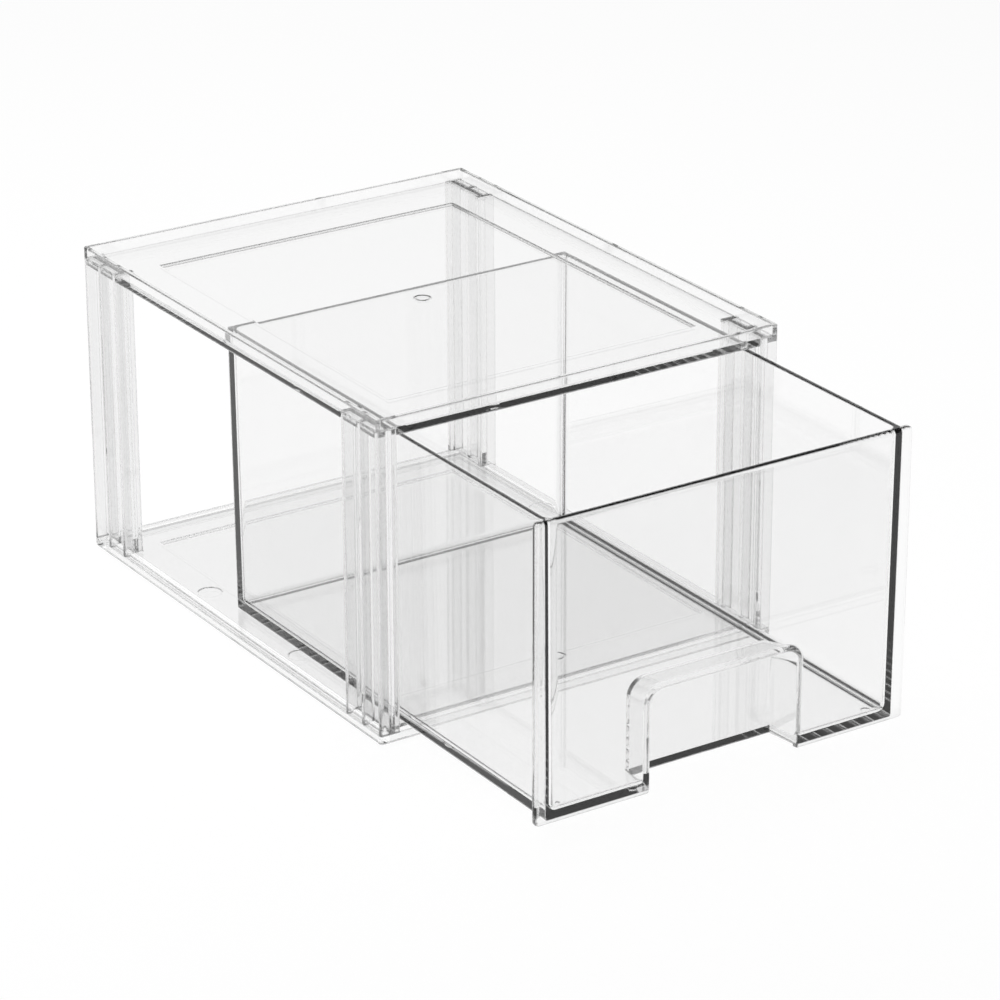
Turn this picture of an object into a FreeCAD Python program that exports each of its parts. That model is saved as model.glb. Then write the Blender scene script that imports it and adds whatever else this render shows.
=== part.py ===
import FreeCAD, Part
import math
import os
import Sketcher

# Stackable clear drawer box: a lid tray, a base, four ribbed corner posts and one drawer.
# The origin is the centre of the ring foot's underside. +Z is up, and the front faces -Y.
# Every sketch is drawn in its own piece's frame, with all its places on the positive side.

SIZES = (
    ("case_width", 175.0, "outside width over the posts"),
    ("case_depth", 218.0, "outside depth, front to back"),
    ("case_height", 126.4, "from the base's ledge to the lid's rim"),
    ("corner_round", 1.2, "upright outer corners of the case"),
    ("edge_ease", 0.4, "small rounding along the edges of the plates and the posts"),
    ("lid_height", 7.0, "whole height of the lid's side"),
    ("lid_rim", 2.0, "thickness of the stacking rim"),
    ("lid_floor", 2.6, "thickness of the lid's plate, under the rim"),
    ("lid_recess", 1.1, "depth of the shallow field in the plate"),
    ("lid_recess_side", 20.4, "side margin of the field"),
    ("lid_recess_end", 25.0, "front and back margin of the field"),
    ("base_height", 4.2, "top of the base's plate above the ledge"),
    ("base_floor", 2.6, "thickness of the base's plate"),
    ("base_border_side", 2.1, "lowered border at the sides, where the posts stand"),
    ("base_border_end", 4.0, "the same border at the front and the back"),
    ("base_tray_side", 18.1, "side margin of the step in the base"),
    ("base_tray_end", 21.7, "front and back margin of the step"),
    ("base_tray_step", 1.2, "depth of the step"),
    ("foot_drop", 1.6, "how far the ring foot stands below the ledge"),
    ("foot_inset", 3.0, "ledge width outside the ring foot"),
    ("foot_wall", 2.4, "thickness of the ring foot"),
    ("ejector_disc", 9.5, "diameter of the ejector marks in the base"),
    ("ejector_side", 10.5, "ejector marks from the side"),
    ("ejector_spacing", 69.0, "ejector marks apart, front to back"),
    ("mark_depth", 0.25, "depth of the moulding marks"),
    ("gate_ring", 6.6, "outer diameter of the ring round each gate mark"),
    ("gate_groove", 0.8, "width of that ring"),
    ("post_depth", 25.3, "post, front to back"),
    ("post_fin", 2.0, "fin thickness"),
    ("post_fin_reach", 4.2, "fins outwards from the web"),
    ("post_web", 2.3, "web thickness"),
    ("post_lip_reach", 1.6, "end lips inwards from the web"),
    ("post_seat", 1.1, "depth of the post slots and of the border in the base"),
    ("slot_gap", 0.1, "clearance round a post end in its slot"),
    ("panel_side", 7.1, "case side to the drawer panel's side"),
    ("panel_wall", 2.5, "drawer front panel thickness"),
    ("panel_lip", 1.2, "panel below the tub's underside"),
    ("panel_round", 2.0, "corners of the panel, seen from the front"),
    ("panel_front_round", 1.5, "front edges of the panel"),
    ("drawer_head_gap", 1.5, "lid above the drawer's rim"),
    ("drawer_back_gap", 4.9, "shut drawer's back to the case's back"),
    ("tub_side_gap", 3.2, "tub's rim to the posts' lips"),
    ("tub_draft", 0.7, "tub narrower at the floor, on each side and the back"),
    ("tub_wall", 1.9, "tub side and back wall"),
    ("tub_floor", 2.4, "tub floor"),
    ("tub_round", 3.0, "inner edges and corners of the tub"),
    ("tub_ease", 0.5, "lower and back edges of the tub, and its rim inside"),
    ("tub_mark", 3.4, "diameter of the ejector marks in the tub's front corners"),
    ("tub_mark_side", 12.4, "those marks from the panel's sides"),
    ("tub_mark_front", 7.8, "those marks from the panel's front"),
    ("pull_width", 64.8, "finger opening in the panel"),
    ("pull_height", 39.9, "finger opening above the panel's lower edge"),
    ("pull_depth", 16.6, "finger pull housing, front to back"),
    ("pull_taper", 2.0, "housing narrower at its back, each side"),
    ("pull_fall", 3.0, "housing roof lower at its back"),
    ("pull_wall", 2.0, "housing wall"),
    ("pull_round", 5.5, "inner radius of the housing's upper corners"),
    ("pull_ease", 0.8, "rounding round the opening and the housing's back"),
    ("slide_gap", 0.2, "running clearance under the tub"),
    ("closed_gap", 0.1, "panel to posts when the drawer is shut"),
    ("drawer_out", 87.7, "how far the drawer stands open at rest"),
)

PARTS_FOLDER = "parts"
HALF_TURN = 180.0
SAME_PLACE = 1e-4

doc = FreeCAD.newDocument("drawer_box")

sheet = doc.addObject("Spreadsheet::Sheet", "Sizes")
for row, (alias, number, meaning) in enumerate(SIZES, 1):
    sheet.set(f"A{row}", alias)
    sheet.set(f"B{row}", str(number))
    sheet.set(f"C{row}", meaning)
    sheet.setAlias(f"B{row}", alias)
doc.recompute()

# Sums of sizes that several pieces share, as expressions on the sheet.
LID_UNDER = "Sizes.foot_drop + Sizes.case_height - Sizes.lid_height"
BASE_TOP = "Sizes.foot_drop + Sizes.base_height"
BASE_UNDER = "Sizes.foot_drop + Sizes.base_height - Sizes.base_floor"
FOOT_INSIDE = "Sizes.foot_inset + Sizes.foot_wall"
POST_WEB_IN = "Sizes.post_fin_reach + Sizes.post_web"
POST_LIP_IN = "Sizes.post_fin_reach + Sizes.post_web + Sizes.post_lip_reach"
FIN_PITCH = "(Sizes.post_depth - Sizes.post_fin) / 2"
PANEL_WIDTH = "(Sizes.case_width - 2 * Sizes.panel_side)"
PANEL_UNDER = f"{BASE_TOP} + Sizes.slide_gap - Sizes.panel_lip"
PANEL_HEIGHT = f"({LID_UNDER} - Sizes.drawer_head_gap - ({PANEL_UNDER}))"
TUB_SIDE = f"{POST_LIP_IN} + Sizes.tub_side_gap - Sizes.panel_side"
DRAWER_FRONT = "Sizes.closed_gap + Sizes.panel_wall"
DRAWER_DEPTH = f"(Sizes.case_depth + {DRAWER_FRONT} - Sizes.drawer_back_gap)"


def size(*aliases):
    """One size, or the sum of several."""
    return sum(float(sheet.get(alias)) for alias in aliases)


def new_body(label, place_x, place_y, place_z, turn=0.0):
    """A piece whose own frame stands at the given place, turned about the vertical."""
    body = doc.addObject("PartDesign::Body", label)
    body.Label = label
    rotation = FreeCAD.Rotation(FreeCAD.Vector(0, 0, 1), turn)
    body.Placement = FreeCAD.Placement(FreeCAD.Vector(), rotation)
    body.setExpression("Placement.Base.x", place_x)
    body.setExpression("Placement.Base.y", place_y)
    body.setExpression("Placement.Base.z", place_z)
    return body


def new_sketch(body, name, role, away=None):
    """A sketch on one of the body's origin planes, moved along that plane's normal."""
    sketch = body.newObject("Sketcher::SketchObject", f"{body.Label}_{name}")
    plane = [feature for feature in body.Origin.OriginFeatures if feature.Role == role][0]
    sketch.AttachmentSupport = [(plane, "")]
    sketch.MapMode = "FlatFace"
    if away is not None:
        sketch.setExpression("AttachmentOffset.Base.z", away)
    return sketch


def hold_point(sketch, geometry, end, across, up):
    """Ties a point of the sketch to its place. None keeps it on the upright or level axis."""
    for kind, axis, place in (("DistanceX", -2, across), ("DistanceY", -1, up)):
        if place is None:
            sketch.addConstraint(Sketcher.Constraint("PointOnObject", geometry, end, axis))
        else:
            # The first two numbers name the sketch's origin.
            tie = Sketcher.Constraint(kind, -1, 1, geometry, end, 1.0)
            number = sketch.addConstraint(tie)
            sketch.setExpression(f"Constraints[{number}]", place)


def outline(sketch, points):
    """A closed outline with straight edges. It starts as a ring and is pulled to its places."""
    first = sketch.GeometryCount
    count = len(points)
    turns = [math.tau * number / count for number in range(count)]
    ring = [FreeCAD.Vector(math.cos(turn), math.sin(turn), 0) for turn in turns]
    for number in range(count):
        sketch.addGeometry(Part.LineSegment(ring[number], ring[(number + 1) % count]))
    for number, (across, up) in enumerate(points):
        following = first + (number + 1) % count
        sketch.addConstraint(Sketcher.Constraint("Coincident", first + number, 2, following, 1))
        hold_point(sketch, first + number, 1, across, up)


def rectangle(sketch, low_across, low_up, high_across, high_up):
    outline(sketch, (
        (low_across, low_up),
        (high_across, low_up),
        (high_across, high_up),
        (low_across, high_up),
    ))


def inset_rectangle(sketch, side, end):
    """A rectangle that keeps these margins from the case's outline, seen from above."""
    rectangle(sketch, side, end, f"Sizes.case_width - ({side})", f"Sizes.case_depth - ({end})")


def disc(sketch, across, up, diameter):
    start = FreeCAD.Vector(1, 1, 0)
    circle = sketch.addGeometry(Part.Circle(start, FreeCAD.Vector(0, 0, 1), 1))
    hold_point(sketch, circle, 3, across, up)
    number = sketch.addConstraint(Sketcher.Constraint("Diameter", circle, 1.0))
    sketch.setExpression(f"Constraints[{number}]", diameter)


def pad(body, name, sketch, length, against_normal=False):
    feature = body.newObject("PartDesign::Pad", f"{body.Label}_{name}")
    feature.Profile = sketch
    feature.Reversed = against_normal
    feature.setExpression("Length", length)
    return feature


def pocket(body, name, sketch, depth, along_normal=False):
    feature = body.newObject("PartDesign::Pocket", f"{body.Label}_{name}")
    feature.Profile = sketch
    feature.Reversed = along_normal
    feature.setExpression("Length", depth)
    return feature


def loft(body, name, kind, first, second):
    feature = body.newObject(f"PartDesign::{kind}", f"{body.Label}_{name}")
    feature.Profile = first
    feature.Sections = [second]
    feature.Ruled = True
    return feature


def round_edges(body, name, radius, wanted):
    """Rounds those edges of the body so far that the test picks."""
    doc.recompute()
    base = body.Tip
    edges = [f"Edge{n}" for n, edge in enumerate(base.Shape.Edges, 1) if wanted(edge)]
    feature = body.newObject("PartDesign::Fillet", f"{body.Label}_{name}")
    feature.Base = (base, edges)
    feature.setExpression("Radius", radius)
    return feature


def near(value, target):
    return abs(value - target) < SAME_PLACE


def is_upright(edge):
    return edge.BoundBox.XLength < SAME_PLACE and edge.BoundBox.YLength < SAME_PLACE


def is_level(edge, height):
    return edge.BoundBox.ZLength < SAME_PLACE and near(edge.BoundBox.ZMin, height)


def is_in_margin(edge, side, end):
    """Whether the edge lies in the margins round the case's outline, seen from above."""
    box = edge.BoundBox
    at_side = box.XMin < side - SAME_PLACE or box.XMax > size("case_width") - side + SAME_PLACE
    at_end = box.YMin < end - SAME_PLACE or box.YMax > size("case_depth") - end + SAME_PLACE
    return at_side or at_end


def is_case_corner(edge):
    """An upright edge at one of the four outer corners of a plate."""
    at_side = near(edge.BoundBox.XMin, 0) or near(edge.BoundBox.XMin, size("case_width"))
    at_end = near(edge.BoundBox.YMin, 0) or near(edge.BoundBox.YMin, size("case_depth"))
    return is_upright(edge) and at_side and at_end


def gate_mark(body, across, along, top):
    """A shallow ring groove, left round the gate that the moulding was filled through."""
    sketch = new_sketch(body, "gate_sketch", "XY_Plane", top)
    disc(sketch, across, along, "Sizes.gate_ring")
    disc(sketch, across, along, "Sizes.gate_ring - 2 * Sizes.gate_groove")
    return pocket(body, "gate", sketch, "Sizes.mark_depth")


def post_section(gap="0"):
    """The post's E-section with a clearance, as (from the side face, from the end face)."""
    lip_in = f"{POST_LIP_IN} + {gap}"
    web_in = f"{POST_WEB_IN} + {gap}"
    web_out = f"Sizes.post_fin_reach - {gap}"
    end_fin = f"Sizes.post_fin + {gap}"
    middle_near = f"{FIN_PITCH} - {gap}"
    middle_far = f"{FIN_PITCH} + Sizes.post_fin + {gap}"
    last_near = f"2 * {FIN_PITCH} - {gap}"
    last_far = f"Sizes.post_depth + {gap}"
    return (
        (None, None),
        (lip_in, None),
        (lip_in, end_fin),
        (web_in, end_fin),
        (web_in, last_near),
        (lip_in, last_near),
        (lip_in, last_far),
        (None, last_far),
        (None, last_near),
        (web_out, last_near),
        (web_out, middle_far),
        (None, middle_far),
        (None, middle_near),
        (web_out, middle_near),
        (web_out, end_fin),
        (None, end_fin),
    )


def cut_post_slots(body, height, depth, along_normal):
    """Four slots that take the post ends, open at the plate's side and end faces."""
    for end in ("front", "rear"):
        for side in ("left", "right"):
            points = []
            for across, along in post_section("Sizes.slot_gap"):
                if side == "right":
                    across = f"Sizes.case_width - ({across or 0})"
                if end == "rear":
                    along = f"Sizes.case_depth - ({along or 0})"
                points.append((across, along))
            sketch = new_sketch(body, f"{end}_{side}_slot_sketch", "XY_Plane", height)
            outline(sketch, points)
            pocket(body, f"{end}_{side}_slot", sketch, depth, along_normal)


def make_top_plate():
    """The lid: a plate with a rim up all round, in which the next box's foot stands."""
    body = new_body("top_plate", "-Sizes.case_width / 2", "-Sizes.case_depth / 2", LID_UNDER)
    slab = new_sketch(body, "slab_sketch", "XY_Plane")
    rectangle(slab, None, None, "Sizes.case_width", "Sizes.case_depth")
    pad(body, "slab", slab, "Sizes.lid_height")
    round_edges(body, "corners", "Sizes.corner_round", is_case_corner)
    tray = new_sketch(body, "tray_sketch", "XY_Plane", "Sizes.lid_height")
    inset_rectangle(tray, "Sizes.lid_rim", "Sizes.lid_rim")
    pocket(body, "tray", tray, "Sizes.lid_height - Sizes.lid_floor")
    field = new_sketch(body, "field_sketch", "XY_Plane", "Sizes.lid_floor")
    inset_rectangle(field, "Sizes.lid_recess_side", "Sizes.lid_recess_end")
    pocket(body, "field", field, "Sizes.lid_recess")

    def is_rim_or_field_edge(edge):
        at_rim = is_level(edge, size("lid_height"))
        at_plate = is_level(edge, size("lid_floor"))
        beside = is_in_margin(edge, size("lid_recess_side"), size("lid_recess_end"))
        return at_rim or (at_plate and not beside)

    round_edges(body, "ease", "Sizes.edge_ease", is_rim_or_field_edge)
    field_top = "Sizes.lid_floor - Sizes.lid_recess"
    gate_mark(body, "Sizes.case_width / 2", "Sizes.case_depth / 2", field_top)
    cut_post_slots(body, None, "Sizes.lid_floor", along_normal=True)
    return body


def make_base_plate():
    """The base: a plate with a lowered border for the posts, over a ledge and a ring foot."""
    body = new_body("base_plate", "-Sizes.case_width / 2", "-Sizes.case_depth / 2", "0")
    slab = new_sketch(body, "slab_sketch", "XY_Plane", "Sizes.foot_drop")
    rectangle(slab, None, None, "Sizes.case_width", "Sizes.case_depth")
    pad(body, "slab", slab, "Sizes.base_height")
    round_edges(body, "corners", "Sizes.corner_round", is_case_corner)
    border = new_sketch(body, "border_sketch", "XY_Plane", BASE_TOP)
    rectangle(border, None, None, "Sizes.case_width", "Sizes.case_depth")
    inset_rectangle(border, "Sizes.base_border_side", "Sizes.base_border_end")
    pocket(body, "border", border, "Sizes.post_seat")
    foot = new_sketch(body, "foot_sketch", "XY_Plane")
    inset_rectangle(foot, "Sizes.foot_inset", "Sizes.foot_inset")
    pad(body, "foot", foot, "Sizes.foot_drop")
    hollow = new_sketch(body, "hollow_sketch", "XY_Plane")
    inset_rectangle(hollow, FOOT_INSIDE, FOOT_INSIDE)
    pocket(body, "hollow", hollow, BASE_UNDER, along_normal=True)
    step = new_sketch(body, "step_sketch", "XY_Plane", BASE_TOP)
    inset_rectangle(step, "Sizes.base_tray_side", "Sizes.base_tray_end")
    pocket(body, "step", step, "Sizes.base_tray_step")

    def is_upper_edge(edge):
        top = size("foot_drop", "base_height")
        at_border = is_in_margin(edge, size("base_border_side"), size("base_border_end"))
        return is_level(edge, top) or (at_border and is_level(edge, top - size("post_seat")))

    round_edges(body, "ease", "Sizes.edge_ease", is_upper_edge)
    cut_post_slots(body, BASE_TOP, "Sizes.post_seat", along_normal=False)
    marks = new_sketch(body, "ejector_sketch", "XY_Plane", BASE_TOP)
    for across in ("Sizes.ejector_side", "Sizes.case_width - Sizes.ejector_side"):
        for sign in ("-", "+"):
            along = f"(Sizes.case_depth {sign} Sizes.ejector_spacing) / 2"
            disc(marks, across, along, "Sizes.ejector_disc")
    pocket(body, "ejector_marks", marks, "Sizes.mark_depth")
    return body


def make_post(label, place_x, place_y, turn=0.0):
    """A corner post: three fins outwards and two lips inwards on a web, the same all the way up."""
    seat = f"{BASE_TOP} - Sizes.post_seat + Sizes.slot_gap"
    length = f"{LID_UNDER} + Sizes.lid_floor - Sizes.slot_gap - ({seat})"
    body = new_body(label, place_x, place_y, seat, turn)
    section = new_sketch(body, "section_sketch", "XY_Plane")
    outline(section, post_section())
    pad(body, "length", section, length)

    def is_outer_corner(edge):
        at_end = near(edge.BoundBox.YMin, 0) or near(edge.BoundBox.YMin, size("post_depth"))
        return is_upright(edge) and near(edge.BoundBox.XMin, 0) and at_end

    def is_fin_or_lip_edge(edge):
        lip_end = size("post_fin_reach", "post_web", "post_lip_reach")
        at_end = near(edge.BoundBox.XMin, 0) or near(edge.BoundBox.XMin, lip_end)
        return is_upright(edge) and at_end and not is_outer_corner(edge)

    round_edges(body, "ease", "Sizes.edge_ease", is_fin_or_lip_edge)
    round_edges(body, "corners", "Sizes.corner_round", is_outer_corner)
    return body


def pull_outline(body, name, away, side, low, high):
    """One section of the finger pull, upright and centred on the panel."""
    sketch = new_sketch(body, name, "XZ_Plane", away)
    middle = f"{PANEL_WIDTH} / 2"
    rectangle(sketch, f"{middle} - ({side})", low, f"{middle} + {side}", high)
    return sketch


def make_drawer():
    """The drawer: a tapering tub, a wider front panel and a finger pull open below."""
    body = new_body(
        "drawer",
        f"-{PANEL_WIDTH} / 2",
        f"-Sizes.case_depth / 2 - ({DRAWER_FRONT}) - Sizes.drawer_out",
        PANEL_UNDER,
    )
    panel = new_sketch(body, "panel_sketch", "XZ_Plane")
    rectangle(panel, None, None, PANEL_WIDTH, PANEL_HEIGHT)
    pad(body, "panel", panel, "Sizes.panel_wall", against_normal=True)
    round_edges(
        body,
        "panel_corners",
        "Sizes.panel_round",
        lambda edge: edge.BoundBox.YLength > SAME_PLACE,
    )
    round_edges(
        body,
        "panel_front",
        "Sizes.panel_front_round",
        lambda edge: near(edge.BoundBox.YMax, 0),
    )

    low_side = f"{TUB_SIDE} + Sizes.tub_draft"
    low_back = f"{DRAWER_DEPTH} - Sizes.tub_draft"
    tub_low = new_sketch(body, "tub_low_sketch", "XY_Plane", "Sizes.panel_lip")
    panel_back = "Sizes.panel_wall"
    rectangle(tub_low, low_side, panel_back, f"{PANEL_WIDTH} - ({low_side})", low_back)
    tub_high = new_sketch(body, "tub_high_sketch", "XY_Plane", PANEL_HEIGHT)
    rectangle(tub_high, TUB_SIDE, panel_back, f"{PANEL_WIDTH} - ({TUB_SIDE})", DRAWER_DEPTH)
    loft(body, "tub", "AdditiveLoft", tub_low, tub_high)

    floor_top = "Sizes.panel_lip + Sizes.tub_floor"
    inner_low = f"{low_side} + Sizes.tub_wall"
    inner_high = f"{TUB_SIDE} + Sizes.tub_wall"
    inside_low = new_sketch(body, "inside_low_sketch", "XY_Plane", floor_top)
    rectangle(
        inside_low,
        inner_low,
        panel_back,
        f"{PANEL_WIDTH} - ({inner_low})",
        f"{low_back} - Sizes.tub_wall",
    )
    inside_high = new_sketch(body, "inside_high_sketch", "XY_Plane", PANEL_HEIGHT)
    rectangle(
        inside_high,
        inner_high,
        panel_back,
        f"{PANEL_WIDTH} - ({inner_high})",
        f"{DRAWER_DEPTH} - Sizes.tub_wall",
    )
    loft(body, "inside", "SubtractiveLoft", inside_low, inside_high)
    doc.recompute()
    whole = body.Tip.Shape.BoundBox
    tub_side = size("post_fin_reach", "post_web", "post_lip_reach", "tub_side_gap")
    wall_middle = tub_side - size("panel_side") + size("tub_wall") / 2

    def is_inside_walls(edge):
        box = edge.BoundBox
        return wall_middle < box.XMin and box.XMax < whole.XMax - wall_middle

    def is_inner_edge(edge):
        box = edge.BoundBox
        over_floor = box.ZMin > size("panel_lip") + SAME_PLACE
        return is_inside_walls(edge) and over_floor and box.ZMin < whole.ZMax - SAME_PLACE

    def is_lower_or_rim_edge(edge):
        """The underside's edges, the outer upright edges at the back, and the inner rim."""
        box = edge.BoundBox
        behind_panel = box.YMax > size("panel_wall") + SAME_PLACE
        inner_rim = is_level(edge, whole.ZMax) and is_inside_walls(edge)
        return behind_panel and (near(box.ZMin, size("panel_lip")) or inner_rim)

    round_edges(body, "tub_inside", "Sizes.tub_round", is_inner_edge)
    round_edges(body, "tub_ease", "Sizes.tub_ease", is_lower_or_rim_edge)

    half = "Sizes.pull_width / 2"
    back = "Sizes.pull_depth"
    roof = "Sizes.pull_height + Sizes.pull_wall"
    housing_side = f"{half} + Sizes.pull_wall"
    housing_front = pull_outline(
        body, "housing_front_sketch", f"-{panel_back}", housing_side, "Sizes.panel_lip", roof
    )
    housing_back = pull_outline(
        body,
        "housing_back_sketch",
        f"-{back}",
        f"{housing_side} - Sizes.pull_taper",
        "Sizes.panel_lip",
        f"{roof} - Sizes.pull_fall",
    )
    loft(body, "housing", "AdditiveLoft", housing_front, housing_back)

    def is_roof_edge(front, rear, edge):
        box = edge.BoundBox
        along = near(box.YMin, front) and near(box.YMax, rear) and box.ZLength > SAME_PLACE
        return along and box.ZMin > size("pull_height") / 2

    finger_front = pull_outline(
        body, "finger_front_sketch", None, half, None, "Sizes.pull_height"
    )
    finger_back = pull_outline(
        body,
        "finger_back_sketch",
        f"Sizes.pull_wall - {back}",
        f"{half} - Sizes.pull_taper",
        None,
        "Sizes.pull_height - Sizes.pull_fall",
    )
    loft(body, "finger", "SubtractiveLoft", finger_front, finger_back)
    round_edges(
        body,
        "finger_corners",
        "Sizes.pull_round",
        lambda edge: is_roof_edge(0, size("pull_depth") - size("pull_wall"), edge),
    )
    round_edges(
        body,
        "housing_corners",
        "Sizes.pull_round + Sizes.pull_wall",
        lambda edge: is_roof_edge(size("panel_wall"), size("pull_depth"), edge),
    )

    def is_pull_edge(edge):
        box = edge.BoundBox
        half_width = size("pull_width") / 2 + SAME_PLACE
        centred = whole.XMax / 2 - half_width < box.XMin and box.XMax < whole.XMax / 2 + half_width
        at_front = centred and near(box.YMax, 0)
        at_back = near(box.YMin, size("pull_depth")) and near(box.YMax, size("pull_depth"))
        return at_front or (at_back and box.ZMax > size("pull_height") / 2)

    round_edges(body, "pull_edges", "Sizes.pull_ease", is_pull_edge)
    gate_mark(body, f"{PANEL_WIDTH} / 2", f"{DRAWER_DEPTH} / 2", floor_top)
    marks = new_sketch(body, "ejector_sketch", "XY_Plane", floor_top)
    for across in ("Sizes.tub_mark_side", f"{PANEL_WIDTH} - Sizes.tub_mark_side"):
        disc(marks, across, "Sizes.tub_mark_front", "Sizes.tub_mark")
    pocket(body, "ejector_marks", marks, "Sizes.mark_depth")
    return body


def check_features(body):
    """Every feature has to be sound, and each one has to add or cut material."""
    solids = [item for item in body.Group if item.isDerivedFrom("PartDesign::Feature")]
    cutting = ("PartDesign::Pocket", "PartDesign::SubtractiveLoft")
    adding = ("PartDesign::Pad", "PartDesign::AdditiveLoft")
    volume = 0.0
    for feature in solids:
        grown = feature.Shape.Volume - volume
        volume = feature.Shape.Volume
        if feature.TypeId in cutting and grown >= 0:
            raise RuntimeError(f"{feature.Name} cuts nothing")
        if feature.TypeId in adding and grown <= 0:
            raise RuntimeError(f"{feature.Name} adds nothing")


left = "-Sizes.case_width / 2"
right = "Sizes.case_width / 2"
front = "-Sizes.case_depth / 2"
rear = "Sizes.case_depth / 2"

bodies = (
    make_top_plate(),
    make_base_plate(),
    make_post("front_left_post", left, front),
    make_post("front_right_post", right, f"{front} + Sizes.post_depth", HALF_TURN),
    make_post("rear_left_post", left, f"{rear} - Sizes.post_depth"),
    make_post("rear_right_post", right, rear, HALF_TURN),
    make_drawer(),
)

doc.recompute()

for item in doc.Objects:
    if "Invalid" in item.State or "Error" in item.State:
        raise RuntimeError(f"{item.Name} failed: {item.State}")

os.makedirs(PARTS_FOLDER, exist_ok=True)
for body in bodies:
    check_features(body)
    shape = body.Shape
    if shape.isNull() or not shape.isValid() or len(shape.Solids) != 1:
        raise RuntimeError(f"{body.Label} is not one sound solid")
    shape.exportStep(os.path.join(PARTS_FOLDER, f"{body.Label}.step"))
    box = shape.BoundBox
    print(f"{body.Label}: {shape.Volume:.0f} mm3, z {box.ZMin:.2f} to {box.ZMax:.2f}")
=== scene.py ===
import math

import bpy
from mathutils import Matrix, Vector

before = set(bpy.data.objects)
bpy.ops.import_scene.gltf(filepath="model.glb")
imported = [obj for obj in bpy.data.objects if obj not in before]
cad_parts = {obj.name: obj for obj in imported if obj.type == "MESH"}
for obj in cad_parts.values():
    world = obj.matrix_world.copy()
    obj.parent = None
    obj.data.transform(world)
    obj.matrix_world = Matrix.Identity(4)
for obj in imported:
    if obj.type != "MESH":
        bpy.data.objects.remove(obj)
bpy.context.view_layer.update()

# all lengths and places are in metres

# the plastic: a clear moulding is faintly wavy and uneven, and its edges are a little soft
REFRACTION = 1.57
WAVES_PER_METRE = 26.0
WAVE_DETAIL = 2.0
WAVE_STRENGTH = 0.004
WAVE_HEIGHT = 0.001
UNEVEN_CLEARNESS = 0.006
SHADOW_THROUGH_A_FACE = 0.94
EDGE_RADIUS = 0.0009
EDGE_SAMPLES = 4

# the floor of the tub lies below this height; there the plastic's colour is darkened as painted
# shade, standing in for the contact shadow under the drawer
TUB_FLOOR_TOP = 0.0076
TUB_FLOOR_FADE = 0.002

# each finish: how clear the walls are, how much of that the tub floor keeps under its painted shade
# (1 for none), and the most haze
LID_FINISH = (0.992, 1.0, 0.01)
# the drawer's second value darkens its tub floor: painted shade for the shadow beneath it
DRAWER_FINISH = (0.965, 0.955, 0.02)
BASE_FINISH = (0.925, 1.0, 0.05)
POST_FINISH = (0.88, 1.0, 0.05)

# the studio: a pale floor, a white horizon, a dim room above it and one softbox low behind
FLOOR_REACH = 6.0
FLOOR_GLOW = 0.83
FLOOR_COLOUR = 0.20
HORIZON_TOP = 0.12
ROOM_FROM = 0.24
ROOM_LEVEL = 0.14
SOFTBOX_WAY = (0.56, 0.72, 0.41)
SOFTBOX_EDGE = 0.72
SOFTBOX_CORE = 0.86
SOFTBOX_FULL_BELOW = 0.50
SOFTBOX_TOP = 0.70
SOFTBOX_LEVEL = 1.0
LAMP_PLACE = (-0.2, 0.2, 1.8)
LAMP_SIDE = 1.2
LAMP_POWER = 26

# the camera, fitted to the corners of the case and the drawer in the photograph
CAMERA_PLACE = (-0.8076, -1.2909, 0.6872)
CAMERA_TILT = math.radians(66.945)
CAMERA_TURN = math.radians(-33.401)
CAMERA_LENS = 153.4
CAMERA_SHIFT = (-0.0182, -0.001)
CAMERA_SENSOR = 36.0
NEAREST_SEEN = 0.01

MOST_BOUNCES = 24
MOST_REFLECTIONS = 20


def grey(level):
    return (level, level, level, 1)


def empty_tree(owner):
    owner.use_nodes = True
    owner.node_tree.nodes.clear()
    return owner.node_tree


def add(tree, kind, sockets=None, **settings):
    """Adds a node, sets its settings and the values of its input sockets."""
    node = tree.nodes.new(kind)
    for name, value in settings.items():
        setattr(node, name, value)
    for name, value in (sockets or {}).items():
        node.inputs[name].default_value = value
    return node


def map_range(tree, value, start, end, low, high, **settings):
    """Maps value from start..end to low..high, held at both ends."""
    sockets = {"From Min": start, "From Max": end, "To Min": low, "To Max": high}
    node = add(tree, "ShaderNodeMapRange", sockets, **settings)
    tree.links.new(value, node.inputs["Value"])
    return node.outputs["Result"]


def combine(tree, operation, first, second):
    node = add(tree, "ShaderNodeMath", operation=operation)
    tree.links.new(first, node.inputs[0])
    tree.links.new(second, node.inputs[1])
    return node.outputs[0]


def height_of(tree, vector):
    node = add(tree, "ShaderNodeSeparateXYZ")
    tree.links.new(vector, node.inputs[0])
    return node.outputs["Z"]


def plastic_colour(tree, place, waves, clearness, floor_painted_shade_share):
    """How much light the plastic lets through, a little uneven, and less low down, where the tub
    floor gets painted shade.
    """
    tint = add(tree, "ShaderNodeValToRGB")
    tint.color_ramp.elements[0].color = grey(clearness - UNEVEN_CLEARNESS)
    tint.color_ramp.elements[1].color = grey(clearness + UNEVEN_CLEARNESS)
    tree.links.new(waves, tint.inputs["Fac"])
    # painted shade: below the top of the tub floor the colour is scaled down, standing in for the
    # shadow under the drawer
    walls_from = TUB_FLOOR_TOP + TUB_FLOOR_FADE
    height = height_of(tree, place)
    painted_shade_share = map_range(tree, height, TUB_FLOOR_TOP, walls_from, floor_painted_shade_share, 1.0)
    colour = add(tree, "ShaderNodeVectorMath", operation="SCALE")
    tree.links.new(tint.outputs["Color"], colour.inputs[0])
    tree.links.new(painted_shade_share, colour.inputs["Scale"])
    return colour.outputs["Vector"]


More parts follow.
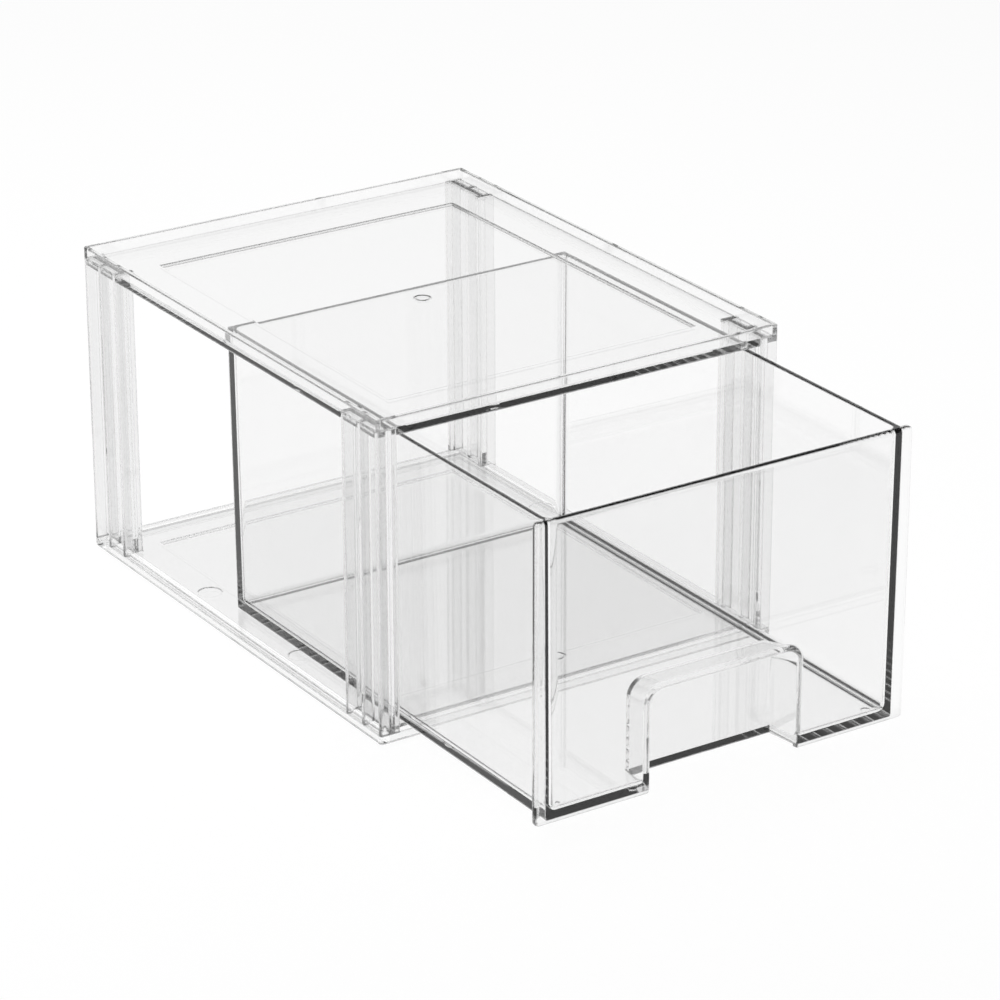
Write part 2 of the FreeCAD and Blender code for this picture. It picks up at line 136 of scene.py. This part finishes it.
def clear_plastic(name, finish):
    """Hard clear plastic: glossy, slightly wavy and hazy, and clear to the lamps."""
    clearness, floor_painted_shade_share, haze = finish
    material = bpy.data.materials.new(name)
    tree = empty_tree(material)
    link = tree.links.new
    place = add(tree, "ShaderNodeTexCoord").outputs["Object"]
    noise = add(tree, "ShaderNodeTexNoise", {"Scale": WAVES_PER_METRE, "Detail": WAVE_DETAIL})
    link(place, noise.inputs["Vector"])
    waves = noise.outputs["Fac"]
    bump = add(tree, "ShaderNodeBump", {"Strength": WAVE_STRENGTH, "Distance": WAVE_HEIGHT})
    link(waves, bump.inputs["Height"])
    edges = add(tree, "ShaderNodeBevel", {"Radius": EDGE_RADIUS}, samples=EDGE_SAMPLES)
    link(edges.outputs["Normal"], bump.inputs["Normal"])
    shader = add(tree, "ShaderNodeBsdfPrincipled", {"Transmission Weight": 1.0, "IOR": REFRACTION})
    link(bump.outputs["Normal"], shader.inputs["Normal"])
    link(map_range(tree, waves, 0.0, 1.0, 0.0, haze), shader.inputs["Roughness"])
    link(plastic_colour(tree, place, waves, clearness, floor_painted_shade_share), shader.inputs["Base Color"])
    rays = add(tree, "ShaderNodeLightPath")
    through = add(tree, "ShaderNodeBsdfTransparent", {"Color": grey(SHADOW_THROUGH_A_FACE)})
    either = add(tree, "ShaderNodeMixShader")
    link(rays.outputs["Is Shadow Ray"], either.inputs[0])
    link(shader.outputs[0], either.inputs[1])
    link(through.outputs[0], either.inputs[2])
    out = add(tree, "ShaderNodeOutputMaterial")
    link(either.outputs[0], out.inputs["Surface"])
    return material


def dress_nodes():
    """The lid is the clearest moulding, and the posts are the greyest."""
    plates_and_drawer = {
        "top_plate": clear_plastic("lid_plastic", LID_FINISH),
        "drawer": clear_plastic("drawer_plastic", DRAWER_FINISH),
        "base_plate": clear_plastic("frame_plastic", BASE_FINISH),
    }
    posts = clear_plastic("post_plastic", POST_FINISH)
    for name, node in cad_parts.items():
        node.data.materials.clear()
        node.data.materials.append(plates_and_drawer.get(name, posts))


def pale_floor():
    """A matt floor that also glows a little, so that it is white and still takes a shadow."""
    mesh = bpy.data.meshes.new("floor")
    low, high = -FLOOR_REACH, FLOOR_REACH
    corners = [(low, low, 0), (high, low, 0), (high, high, 0), (low, high, 0)]
    mesh.from_pydata(corners, [], [(0, 1, 2, 3)])
    floor = bpy.data.objects.new("floor", mesh)
    bpy.context.scene.collection.objects.link(floor)
    material = bpy.data.materials.new("floor")
    tree = empty_tree(material)
    glow = add(tree, "ShaderNodeEmission", {"Strength": FLOOR_GLOW})
    matt = add(tree, "ShaderNodeBsdfDiffuse", {"Color": grey(FLOOR_COLOUR)})
    both = add(tree, "ShaderNodeAddShader")
    tree.links.new(glow.outputs[0], both.inputs[0])
    tree.links.new(matt.outputs[0], both.inputs[1])
    out = add(tree, "ShaderNodeOutputMaterial")
    tree.links.new(both.outputs[0], out.inputs["Surface"])
    mesh.materials.append(material)


def studio():
    """The light from all round: its level goes by height and by how near it is to the softbox."""
    world = bpy.data.worlds.new("studio")
    bpy.context.scene.world = world
    tree = empty_tree(world)
    smooth = {"interpolation_type": "SMOOTHSTEP"}
    way = add(tree, "ShaderNodeTexCoord").outputs["Generated"]
    height = height_of(tree, way)
    horizon = map_range(tree, height, HORIZON_TOP, ROOM_FROM, 1.0, ROOM_LEVEL, **smooth)
    towards = add(tree, "ShaderNodeVectorMath", operation="DOT_PRODUCT")
    tree.links.new(way, towards.inputs[0])
    towards.inputs[1].default_value = SOFTBOX_WAY
    spread = map_range(tree, towards.outputs["Value"], SOFTBOX_EDGE, SOFTBOX_CORE, 0.0, 1.0, **smooth)
    below = map_range(tree, height, SOFTBOX_FULL_BELOW, SOFTBOX_TOP, SOFTBOX_LEVEL, 0.0, **smooth)
    level = combine(tree, "MAXIMUM", horizon, combine(tree, "MULTIPLY", spread, below))
    light = add(tree, "ShaderNodeBackground")
    tree.links.new(level, light.inputs["Strength"])
    out = add(tree, "ShaderNodeOutputWorld")
    tree.links.new(light.outputs[0], out.inputs["Surface"])


def overhead_lamp():
    """A wide soft lamp above, which lights the scene but isn't mirrored in the faces."""
    data = bpy.data.lights.new("overhead", "AREA")
    data.size = LAMP_SIDE
    data.energy = LAMP_POWER
    lamp = bpy.data.objects.new("overhead", data)
    lamp.location = LAMP_PLACE
    lamp.rotation_euler = (-Vector(LAMP_PLACE)).to_track_quat("-Z", "Y").to_euler()
    lamp.visible_glossy = False
    lamp.visible_transmission = False
    bpy.context.scene.collection.objects.link(lamp)


def camera():
    data = bpy.data.cameras.new("camera")
    data.sensor_width = CAMERA_SENSOR
    data.lens = CAMERA_LENS
    data.shift_x, data.shift_y = CAMERA_SHIFT
    data.clip_start = NEAREST_SEEN
    item = bpy.data.objects.new("camera", data)
    item.location = CAMERA_PLACE
    item.rotation_euler = (CAMERA_TILT, 0, CAMERA_TURN)
    bpy.context.scene.collection.objects.link(item)
    bpy.context.scene.camera = item


dress_nodes()
pale_floor()
studio()
overhead_lamp()
camera()

bpy.context.scene.view_settings.view_transform = "Standard"
cycles = bpy.context.scene.cycles
cycles.max_bounces = MOST_BOUNCES
cycles.transmission_bounces = MOST_BOUNCES
cycles.transparent_max_bounces = MOST_BOUNCES
cycles.glossy_bounces = MOST_REFLECTIONS
